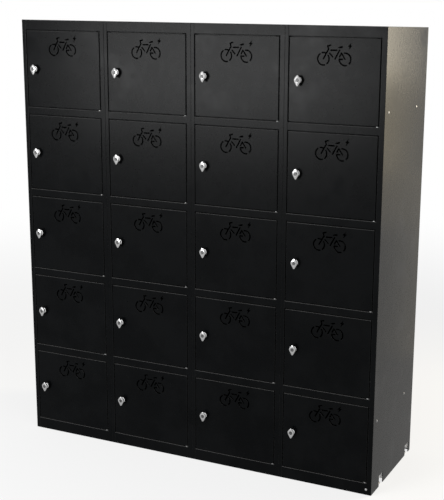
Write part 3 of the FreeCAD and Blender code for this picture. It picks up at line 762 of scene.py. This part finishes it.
# %% Key cylinder, cam and screw
PLUG_RADIUS = 5.0
KEY_PROUD = 0.8
RIM_DEPTH = 2.4
KEYWAY = (1.6, 8.0, 4.0)
CAM_REACH = 54.0
CAM_HALF = 9.0
CAM_CORNER = 1.5
CAM_RIM = 0.35
CAM_SCREW_RADIUS = 6.0
CAM_SCREW_HEIGHT = 3.5
SOCKET_FLATS = 4.0
SOCKET_DEPTH = 1.8


def bar_cutter(size, place):
    bm = bmesh.new()
    bmesh.ops.create_cube(bm, size=1.0, matrix=Matrix.Translation(place) @ Matrix.Diagonal((*size, 1)))
    bmesh.ops.scale(bm, vec=(MM, MM, MM), verts=bm.verts)
    return to_mesh(bm, "bar_cutter")


def key_cylinder():
    face = HEAD_FRONT + KEY_PROUD
    back = HEAD_FRONT - KEY_SEAT_DEPTH
    rim = face - RIM_DEPTH
    profile = ((0, back), (KEY_RADIUS, back), (KEY_RADIUS, rim), (PLUG_RADIUS, rim),
               (PLUG_RADIUS, face - 0.3), (PLUG_RADIUS - 0.3, face), (0, face))
    return carve(turned(profile, "key_cylinder", 40), bar_cutter(KEYWAY, (0, 0, face)))


def lock_cam():
    side = CAM_HALF - CAM_CORNER
    low = CAM_CORNER - CAM_REACH
    rods = ((0, 0, CAM_HALF), (-side, low, CAM_CORNER), (side, low, CAM_CORNER))
    plate = finish_hull(hull_of_rods(rods, -CAM_BACK, -CAM_FRONT, CAM_RIM, CAM_RIM), "cam")
    start = -CAM_BACK - 4.0
    end = -CAM_FRONT + 3.0
    bore = turned(((0, start), (SPINDLE_RADIUS, start), (SPINDLE_RADIUS, end), (0, end)), "bore", 32)
    return carve(plate, bore)


def button_head(radius, height, name):
    """A low domed screw head on z = 0 with a hexagon socket."""
    profile = [(0, 0), (radius, 0)]
    low_angle = 12.0
    top_angle = 78.0
    for step in range(7):
        angle = math.radians(low_angle + step * (top_angle - low_angle) / 6)
        rise = height * math.sin(angle) / math.sin(math.radians(top_angle))
        profile.append((radius * (0.30 + 0.70 * math.cos(angle)), rise))
    profile.append((0, height))
    bm = bmesh.new()
    corner = SOCKET_FLATS / math.sqrt(3) * MM
    lift = Matrix.Translation((0, 0, height * MM))
    bmesh.ops.create_cone(
        bm, cap_ends=True, segments=6, radius1=corner, radius2=corner,
        depth=2 * SOCKET_DEPTH * MM, matrix=lift,
    )
    return carve(turned(profile, name, 32), to_mesh(bm, "socket"))


key = stand_up(key_cylinder())
cam = stand_up(lock_cam())
screw = aim(button_head(CAM_SCREW_RADIUS, CAM_SCREW_HEIGHT, "cam_screw"), (0, 1, 0))
screw.transform(Matrix.Translation((0, CAM_BACK * MM, 0)))
LOCK_PIECES = (
    ("handle", handle, chrome, "chrome"),
    ("stem", stem, chrome_painted_highlight, "chrome"),
    ("key_cylinder", key, nickel, "chrome"),
    ("cam", cam, zinc, "bright_zinc"),
    ("screw", screw, zinc, "bright_zinc"),
)
for number in numbers:
    lock = f"lock_{number}"
    for part, mesh, material, slot in LOCK_PIECES:
        add_piece(f"{lock}_{part}", copy_at(mesh, hubs[number]), material, lock, slot, lock)
print("lock pieces:", {part: len(mesh.polygons) for part, mesh, _, _ in LOCK_PIECES})

# %% [markdown]
# ## Hinge pins
# Each door hangs on two short pins. The lower one has a zinc collar that carries the door and shows as a
# bright dot in the gap. The upper one takes the frame's black coat as painted shade, for the shadow of the
# rail over it. They are lathe work again.

# %% Hinge pins
PIN_RADIUS = 2.5
PIN_COLLAR_RADIUS = 5.5
PIN_COLLAR_HEIGHT = 2.7
DOOR_GAP = 3.0
PIN_INSIDE = 9.5
PIN_OUTSIDE = 4.5


def lower_pin():
    floor = -LEAF_HALF_HEIGHT - DOOR_GAP
    end = floor - PIN_OUTSIDE
    tip = floor + PIN_INSIDE
    top = floor + PIN_COLLAR_HEIGHT
    profile = ((0, end), (PIN_RADIUS - 0.5, end), (PIN_RADIUS, end + 0.5), (PIN_RADIUS, floor),
               (PIN_COLLAR_RADIUS - 0.3, floor), (PIN_COLLAR_RADIUS, floor + 0.3),
               (PIN_COLLAR_RADIUS, top - 0.3), (PIN_COLLAR_RADIUS - 0.3, top),
               (PIN_RADIUS, top), (PIN_RADIUS, tip - 0.7), (PIN_RADIUS - 0.9, tip), (0, tip))
    return turned(profile, "lower_pin", 24)


def upper_pin():
    ceiling = LEAF_HALF_HEIGHT + DOOR_GAP
    end = ceiling + PIN_OUTSIDE
    tip = ceiling - PIN_INSIDE
    profile = ((0, tip), (PIN_RADIUS - 0.9, tip), (PIN_RADIUS, tip + 0.7), (PIN_RADIUS, end - 0.5),
               (PIN_RADIUS - 0.5, end), (0, end))
    return turned(profile, "upper_pin", 24)


# The upper pins' black coat is painted shade.
PINS = (("hinge_pins_lower", lower_pin(), dull_zinc, "bright_zinc"),
        ("hinge_pins_upper_painted_shade", upper_pin(), black_coat, "black_powder_coat"))
for name, pin, material, slot in PINS:
    row = merge(name, [copy_at(pin, hinges[number]) for number in numbers])
    add_piece(name, row, material, "cabinet", slot, "hinge_pins")
print("hinge pins:", 2 * len(numbers))

# %% [markdown]
# ## Rivets, joining bolts and feet
# The side panels are held by dome-headed rivets. The columns are joined by button-head bolts through their
# walls. Behind each notch at the bottom of a side stands a levelling bolt in its own bracket, whose
# hexagon head rests on the floor.

# %% Rivets
RIVET_RADIUS = 5.0
RIVET_HEIGHT = 2.2
RIVET_SHANK = 2.0
SIDE_GRIP = 4.2
RAIL_GRIP = 3.0
SIDE_FACE = 0.8015
FRONT = hubs["01"].y
RIVET_PLACES = [(y, z) for y in (-0.210, 0.131) for z in (0.298, 1.493)]
RAIL_RIVET = (0.780, FRONT, 0.022)


def dome_rivet(grip):
    profile = [(0, -grip), (RIVET_SHANK - 0.4, -grip), (RIVET_SHANK, -grip + 0.4)]
    profile += [(RIVET_SHANK, 0.0), (RIVET_RADIUS, 0.0)]
    for step in range(1, 8):
        angle = math.radians(step * 90 / 8)
        profile.append((RIVET_RADIUS * math.cos(angle), RIVET_HEIGHT * math.sin(angle)))
    profile.append((0, RIVET_HEIGHT))
    return turned(profile, "rivet", 28)


rivets = []
for side in (-1, 1):
    for y, z in RIVET_PLACES:
        rivets.append(copy_at(aim(dome_rivet(SIDE_GRIP), (side, 0, 0)), (side * SIDE_FACE, y, z)))
rivets.append(copy_at(aim(dome_rivet(RAIL_GRIP), (0, -1, 0)), RAIL_RIVET))
add_piece("case_rivets_domed", merge("rivets", rivets), dull_zinc, "cabinet", "bright_zinc", "case_rivets")
print("rivets:", len(rivets))

# %% Joining bolts
WALL = 1.2
BOLT_RADIUS = 3.0
BOLT_HEAD_RADIUS = 5.25
BOLT_HEAD_HEIGHT = 3.3
BOLT_NUT_FLATS = 10.0
BOLT_NUT_HEIGHT = 4.0
BOLT_PLACES = [(y, z) for y in (-0.190, 0.190) for z in (0.1985, 1.5905)]
COLUMN_SEAMS = (-0.4, 0.0, 0.4)


def joining_bolt():
    """A bolt along +x through two walls: head on the left, nut on the right."""
    head = aim(button_head(BOLT_HEAD_RADIUS, BOLT_HEAD_HEIGHT, "bolt_head"), (-1, 0, 0))
    head.transform(Matrix.Translation((-WALL * MM, 0, 0)))
    start = WALL - 0.2
    end = WALL + BOLT_NUT_HEIGHT
    shank = [(0, -WALL), (BOLT_RADIUS, -WALL), (BOLT_RADIUS, start)]
    shank += thread(BOLT_RADIUS, start, end - 0.4, 1.0, 0.3)
    shank += [(BOLT_RADIUS - 0.7, end), (0, end)]
    nut = aim(hexagon_nut(BOLT_NUT_FLATS, BOLT_NUT_HEIGHT, BOLT_RADIUS, "bolt_nut"), (1, 0, 0))
    nut.transform(Matrix.Translation((WALL * MM, 0, 0)))
    return merge("bolt", [head, aim(turned(shank, "shank", 20), (1, 0, 0)), nut])


bolt = joining_bolt()
bolts = [copy_at(bolt, (x, y, z)) for x in COLUMN_SEAMS for y, z in BOLT_PLACES]
add_piece("column_bolts_and_nuts", merge("bolts", bolts), zinc, "cabinet", "bright_zinc", "column_bolts")
print("joining bolts:", len(bolts))

# %% Levelling feet
FOOT_WALL = 0.7988
FOOT_MIDDLES = (-0.134, 0.202)
FOOT_IN = 10.0
FOOT_RADIUS = 5.0
FOOT_FLATS = 17.0
FOOT_HEAD_HEIGHT = 6.4
FOOT_NUT_HEIGHT = 8.0
FOOT_NUT_LIFT = 36.3
FOOT_TOP = 46.8
WEB_TOP = 47.3
BRACKET_SHEET = 3.0
BRACKET_HALF = 31.0
BRACKET_DROP = 34.0
BRACKET_WIDTH = 26.0
BRACKET_BEND = 4.0


def foot_bracket():
    """An upside-down U of thick strip that reaches 26 mm along +x from the wall."""
    bm = bmesh.new()
    line = ((-BRACKET_HALF, WEB_TOP - BRACKET_DROP), (-BRACKET_HALF, WEB_TOP),
            (BRACKET_HALF, WEB_TOP), (BRACKET_HALF, WEB_TOP - BRACKET_DROP))
    verts = [bm.verts.new((0, y, z)) for y, z in line]
    edges = [bm.edges.new(pair) for pair in zip(verts, verts[1:])]
    made = bmesh.ops.extrude_edge_only(bm, edges=edges)
    moved = [part for part in made["geom"] if isinstance(part, bmesh.types.BMVert)]
    bmesh.ops.translate(bm, verts=moved, vec=(BRACKET_WIDTH, 0, 0))
    folds = [edge for edge in bm.edges if all(vert.co.z > WEB_TOP - 1 for vert in edge.verts)]
    folds = [edge for edge in folds if abs(edge.verts[0].co.x - edge.verts[1].co.x) > 1]
    soften(bm, folds, BRACKET_BEND, 5)
    bmesh.ops.recalc_face_normals(bm, faces=bm.faces)
    bm.normal_update()
    top = max(bm.faces, key=lambda face: face.calc_center_median().z)
    if top.normal.z < 0:
        bmesh.ops.reverse_faces(bm, faces=bm.faces[:])
    bmesh.ops.solidify(bm, geom=bm.faces[:], thickness=BRACKET_SHEET)
    bmesh.ops.scale(bm, vec=(MM, MM, MM), verts=bm.verts)
    bore = turned(((0, 40), (FOOT_RADIUS, 40), (FOOT_RADIUS, 50), (0, 50)), "bore", 28)
    return carve(to_mesh(bm, "foot_bracket"), copy_at(bore, (FOOT_IN * MM, 0, 0)))


def levelling_bolt():
    head = hexagon_nut(FOOT_FLATS, FOOT_HEAD_HEIGHT, 0.0, "foot_head")
    start = 8.0
    stud = [(0, 5.0), (FOOT_RADIUS, 5.0), (FOOT_RADIUS, start)]
    stud += thread(FOOT_RADIUS, start, FOOT_TOP - 0.8, 1.5, 0.7)
    stud += [(FOOT_RADIUS - 1.0, FOOT_TOP), (0, FOOT_TOP)]
    nut = hexagon_nut(FOOT_FLATS, FOOT_NUT_HEIGHT, FOOT_RADIUS, "foot_nut")
    nut.transform(Matrix.Translation((0, 0, FOOT_NUT_LIFT * MM)))
    return merge("foot_bolt", [carve(head, turned(stud, "stud", 28), "UNION"), nut])


foot = merge("foot", [foot_bracket(), copy_at(levelling_bolt(), (FOOT_IN * MM, 0, 0))])
feet = []
for middle in FOOT_MIDDLES:
    feet.append(copy_at(foot, (-FOOT_WALL, middle, 0)))
    mirrored = foot.copy()
    mirrored.transform(Matrix.Rotation(math.pi, 4, "Z"))
    feet.append(copy_at(mirrored, (FOOT_WALL, middle, 0)))
all_feet = merge("feet", feet)
add_piece("levelling_bolts_and_brackets", all_feet, zinc, "cabinet", "bright_zinc", "levelling_feet")
print("levelling feet:", len(feet))

# %% [markdown]
# ## The floor and the light
# Black paint shows only what it reflects, so the light is arranged by its reflections. A large soft box
# stands in front on the left, where the upper doors mirror it. A second hangs above; the thin light lines
# along the bends are painted highlights in the coat. Pale and warm ones stand behind on the right, each
# dimmer than the one above it, and give the side panel its sheen, which fades towards the floor. The world
# and the floor are white to the eye and to every reflection, and the floor keeps the shadow.

# %% World and floor
WORLD_LIGHT = 0.35
FLOOR_TONE = 0.92
FLOOR_RADIUS = 40.0
FLOOR_DROP = 0.2 * MM
NEAR_GLOW = 0.75
GLOW_RISES = (1.5, 6.0)
SEEING_RAYS = ("Camera", "Glossy", "Transmission")


def seen_mask(start):
    """1 for rays that show the surroundings: from the camera, in a reflection or through glass."""
    rays = [start.node("ShaderNodeLightPath", output=f"Is {kind} Ray") for kind in SEEING_RAYS]
    seen = rays[0].combine("MAXIMUM", rays[0], rays[1])
    return seen.combine("MAXIMUM", seen, rays[2])


def make_world():
    world = bpy.data.worlds.new("white_studio")
    world.use_nodes = True
    tree = world.node_tree
    background = tree.nodes["Background"]
    background.inputs["Color"].default_value = (1, 1, 1, 1)
    strength = seen_mask(Wire(tree)) * (1.0 - WORLD_LIGHT) + WORLD_LIGHT
    tree.links.new(strength.socket, background.inputs["Strength"])
    scene.world = world


def make_floor():
    bm = bmesh.new()
    bmesh.ops.create_circle(bm, cap_ends=True, segments=96, radius=FLOOR_RADIUS)
    bmesh.ops.translate(bm, verts=bm.verts, vec=(0, 0, -FLOOR_DROP))
    mesh = bpy.data.meshes.new("floor")
    bm.to_mesh(mesh)
    bm.free()
    floor = bpy.data.objects.new("floor", mesh)
    scene.collection.objects.link(floor)
    material = bpy.data.materials.new("pale_floor")
    material.use_nodes = True
    tree = material.node_tree
    place = Wire(tree).node("ShaderNodeTexCoord", output="Object")
    tree.nodes.remove(tree.nodes["Principled BSDF"])
    paint = place.node("ShaderNodeBsdfDiffuse", inputs={"Color": grey(FLOOR_TONE)})
    glow = place.node("ShaderNodeEmission", inputs={"Color": (1, 1, 1, 1), "Strength": 1.0})
    distance = place.node("ShaderNodeVectorMath", {"operation": "LENGTH"}, {0: place}, output="Value")
    share = seen_mask(place) * distance.ramp(*GLOW_RISES, NEAR_GLOW, 1.0)
    mixed = share.node("ShaderNodeMixShader", inputs={0: share, 1: paint, 2: glow})
    tree.links.new(mixed.socket, tree.nodes["Material Output"].inputs["Surface"])
    mesh.materials.append(material)


make_world()
make_floor()
scene.view_settings.view_transform = "Standard"
print("world light:", WORLD_LIGHT, "floor tone:", FLOOR_TONE)

# %% Soft boxes


def soft_box(name, place, target, width, height, radiance, colour):
    """An area lamp given by how bright it looks, from which its power follows."""
    lamp = bpy.data.lights.new(name, "AREA")
    lamp.shape = "RECTANGLE"
    lamp.size = width
    lamp.size_y = height
    lamp.energy = radiance * math.pi * width * height
    lamp.color = colour
    box = bpy.data.objects.new(name, lamp)
    direction = Vector(target) - Vector(place)
    box.matrix_world = Matrix.Translation(place) @ direction.to_track_quat("-Z", "Y").to_matrix().to_4x4()
    box.visible_camera = False
    scene.collection.objects.link(box)


WHITE = (1.0, 1.0, 1.0)
PALE = (1.0, 0.89, 0.68)
WARM = (1.0, 0.82, 0.48)
SIDE_PANEL = 0.8
SIDE_BOX_BACK = 1.5
SIDE_BOXES = (
    ("side_box_top", 1.93, 2.03, 0.9, 1.0, 18.0, PALE),
    ("side_box_middle", 1.88, 1.29, 1.0, 0.60, 3.2, WARM),
    ("side_box_low", 1.80, 0.84, 1.0, 0.30, 0.6, WARM),
    ("side_box_rear", 1.00, 0.50, 0.36, 1.1, 0.5, WARM),
)
soft_box("front_box", (-1.70, -3.9, 1.55), (0.0, 0.0, 1.5), 2.3, 1.0, 18.0, WHITE)
soft_box("top_box", (0.0, -1.2, 4.2), (0.0, 0.0, 0.9), 3.6, 1.4, 2.0, WHITE)
for name, x, z, width, height, radiance, colour in SIDE_BOXES:
    place = (x, SIDE_BOX_BACK, z)
    soft_box(name, place, (SIDE_PANEL, 0.0, z), width, height, radiance, colour)
print("soft boxes:", 2 + len(SIDE_BOXES))
